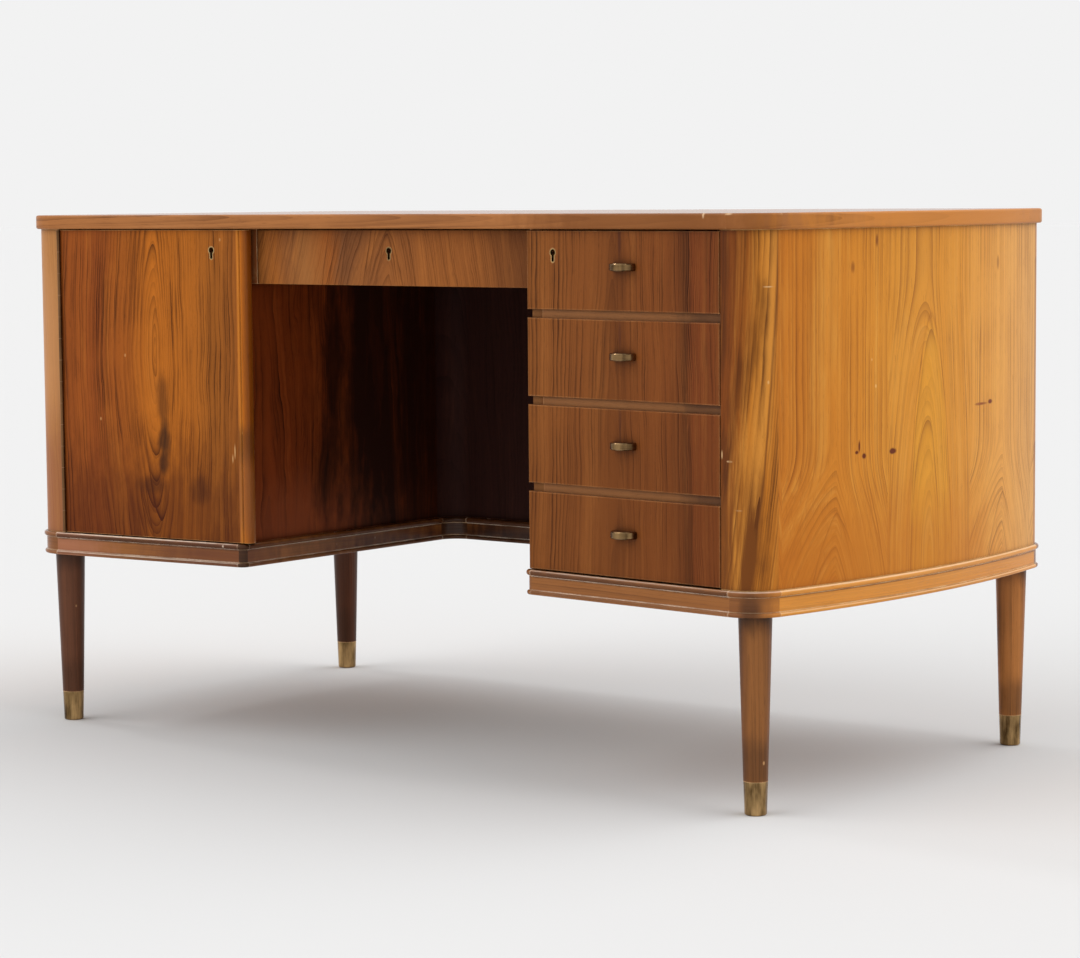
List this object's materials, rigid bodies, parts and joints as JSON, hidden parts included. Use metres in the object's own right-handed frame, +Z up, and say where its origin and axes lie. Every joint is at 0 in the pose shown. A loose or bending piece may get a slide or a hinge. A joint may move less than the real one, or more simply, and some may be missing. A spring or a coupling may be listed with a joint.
{
  "type": "captains desk",
  "caption": "Pedestal writing desk with bowed ends, toed-in fronts, piano-hinged cupboard, lipped drawers with brass half-moon pulls, beaded base and tapered legs in brass sabots",
  "frame": {"origin": "on the floor under the middle of the top's outline", "axes": "X to the right as seen by someone seated at the kneehole, Y to the back, Z up"},
  "size_m": [1.3818, 0.7059, 0.75],
  "materials": {
    "top_veneer": "satin lacquered walnut veneer",
    "edge_wood": "satin lacquered solid walnut",
    "case_veneer": "satin lacquered walnut veneer, honey toned",
    "knee_veneer": "satin lacquered walnut veneer, dark",
    "inner_wood": "bare planed beech",
    "rail_wood": "satin lacquered solid walnut",
    "moulding_wood": "satin lacquered solid walnut, worn beads",
    "leg_wood": "satin lacquered dark stained wood",
    "door_veneer": "satin lacquered flame walnut veneer",
    "lipping_wood": "satin lacquered solid walnut",
    "front_veneer": "satin lacquered walnut veneer",
    "drawer_wood": "bare planed beech and birch plywood",
    "brass": "worn polished brass",
    "lock_steel": "plain brushed steel"
  },
  "bodies": {
    "carcass": {"desktop": "top_veneer", "desktop_edge_band": "edge_wood", "right_end_panel": "case_veneer", "left_end_panel": "case_veneer", "right_front_post": "case_veneer", "left_front_post": "case_veneer", "back_corner_posts": "case_veneer", "pedestal_backs": "case_veneer", "left_inner_side": "knee_veneer", "right_inner_side": "knee_veneer", "knee_panel": "knee_veneer", "knee_corner_coves": "knee_veneer", "bookcase_shelf": "knee_veneer", "pedestal_linings": "inner_wood", "bottom_boards": "inner_wood", "drawer_runners": "inner_wood", "cabinet_shelf": "inner_wood", "drawer_rails": "rail_wood", "base_straight_mouldings": "moulding_wood", "base_bow_mouldings": "moulding_wood", "base_corner_blocks": "moulding_wood", "leg_front_left": "leg_wood", "leg_front_right": "leg_wood", "leg_back_left": "leg_wood", "leg_back_right": "leg_wood", "leg_sabots": "brass", "piano_hinge_fixed_leaf": "brass", "shelf_pins": "brass", "piano_hinge_pin": "lock_steel"},
    "door": {"door_panel": "door_veneer", "door_edge_lipping": "lipping_wood", "piano_hinge_door_leaf": "brass", "door_lock_case": "lock_steel", "door_escutcheon": "brass"},
    "door_bolt": {"door_lock_bolt": "lock_steel"},
    "drawer_1": {"drawer_1_front": "front_veneer", "drawer_1_box": "drawer_wood", "drawer_1_bottom": "drawer_wood", "drawer_1_pull": "brass", "drawer_1_lock_case": "lock_steel", "drawer_1_escutcheon": "brass"},
    "drawer_1_bolt": {"drawer_1_lock_bolt": "lock_steel"},
    "centre_drawer": {"centre_drawer_front": "front_veneer", "centre_drawer_box": "drawer_wood", "centre_drawer_bottom": "drawer_wood", "centre_drawer_lock_case": "lock_steel", "centre_drawer_escutcheon": "brass"},
    "centre_bolt": {"centre_drawer_lock_bolt": "lock_steel"},
    "drawer_2": {"drawer_2_front": "front_veneer", "drawer_2_box": "drawer_wood", "drawer_2_bottom": "drawer_wood", "drawer_2_pull": "brass"},
    "drawer_3": {"drawer_3_front": "front_veneer", "drawer_3_box": "drawer_wood", "drawer_3_bottom": "drawer_wood", "drawer_3_pull": "brass"},
    "drawer_4": {"drawer_4_front": "front_veneer", "drawer_4_box": "drawer_wood", "drawer_4_bottom": "drawer_wood", "drawer_4_pull": "brass"}
  },
  "joints": [
    {"name": "door_hinge", "type": "hinge", "parent": "carcass", "child": "door", "pos_m": [-0.58708, -0.34698, 0.5075], "axis": [0, 0, -1], "range_deg": [0, 120]},
    {"name": "door_bolt_slide", "type": "slide", "parent": "door", "child": "door_bolt", "axis": [0.9956, 0.0941, 0], "range_m": [0, 0.011]},
    {"name": "drawer_1_slide", "type": "slide", "parent": "carcass", "child": "drawer_1", "axis": [0, -1, 0], "range_m": [0, 0.4]},
    {"name": "drawer_2_slide", "type": "slide", "parent": "carcass", "child": "drawer_2", "axis": [0, -1, 0], "range_m": [0, 0.4]},
    {"name": "drawer_3_slide", "type": "slide", "parent": "carcass", "child": "drawer_3", "axis": [0, -1, 0], "range_m": [0, 0.4]},
    {"name": "drawer_4_slide", "type": "slide", "parent": "carcass", "child": "drawer_4", "axis": [0, -1, 0], "range_m": [0, 0.4]},
    {"name": "drawer_1_bolt_slide", "type": "slide", "parent": "drawer_1", "child": "drawer_1_bolt", "axis": [0, 0, 1], "range_m": [0, 0.011]},
    {"name": "centre_drawer_slide", "type": "slide", "parent": "carcass", "child": "centre_drawer", "axis": [0, -1, 0], "range_m": [0, 0.27]},
    {"name": "centre_bolt_slide", "type": "slide", "parent": "centre_drawer", "child": "centre_bolt", "axis": [0, 0, 1], "range_m": [0, 0.011]}
  ]
}
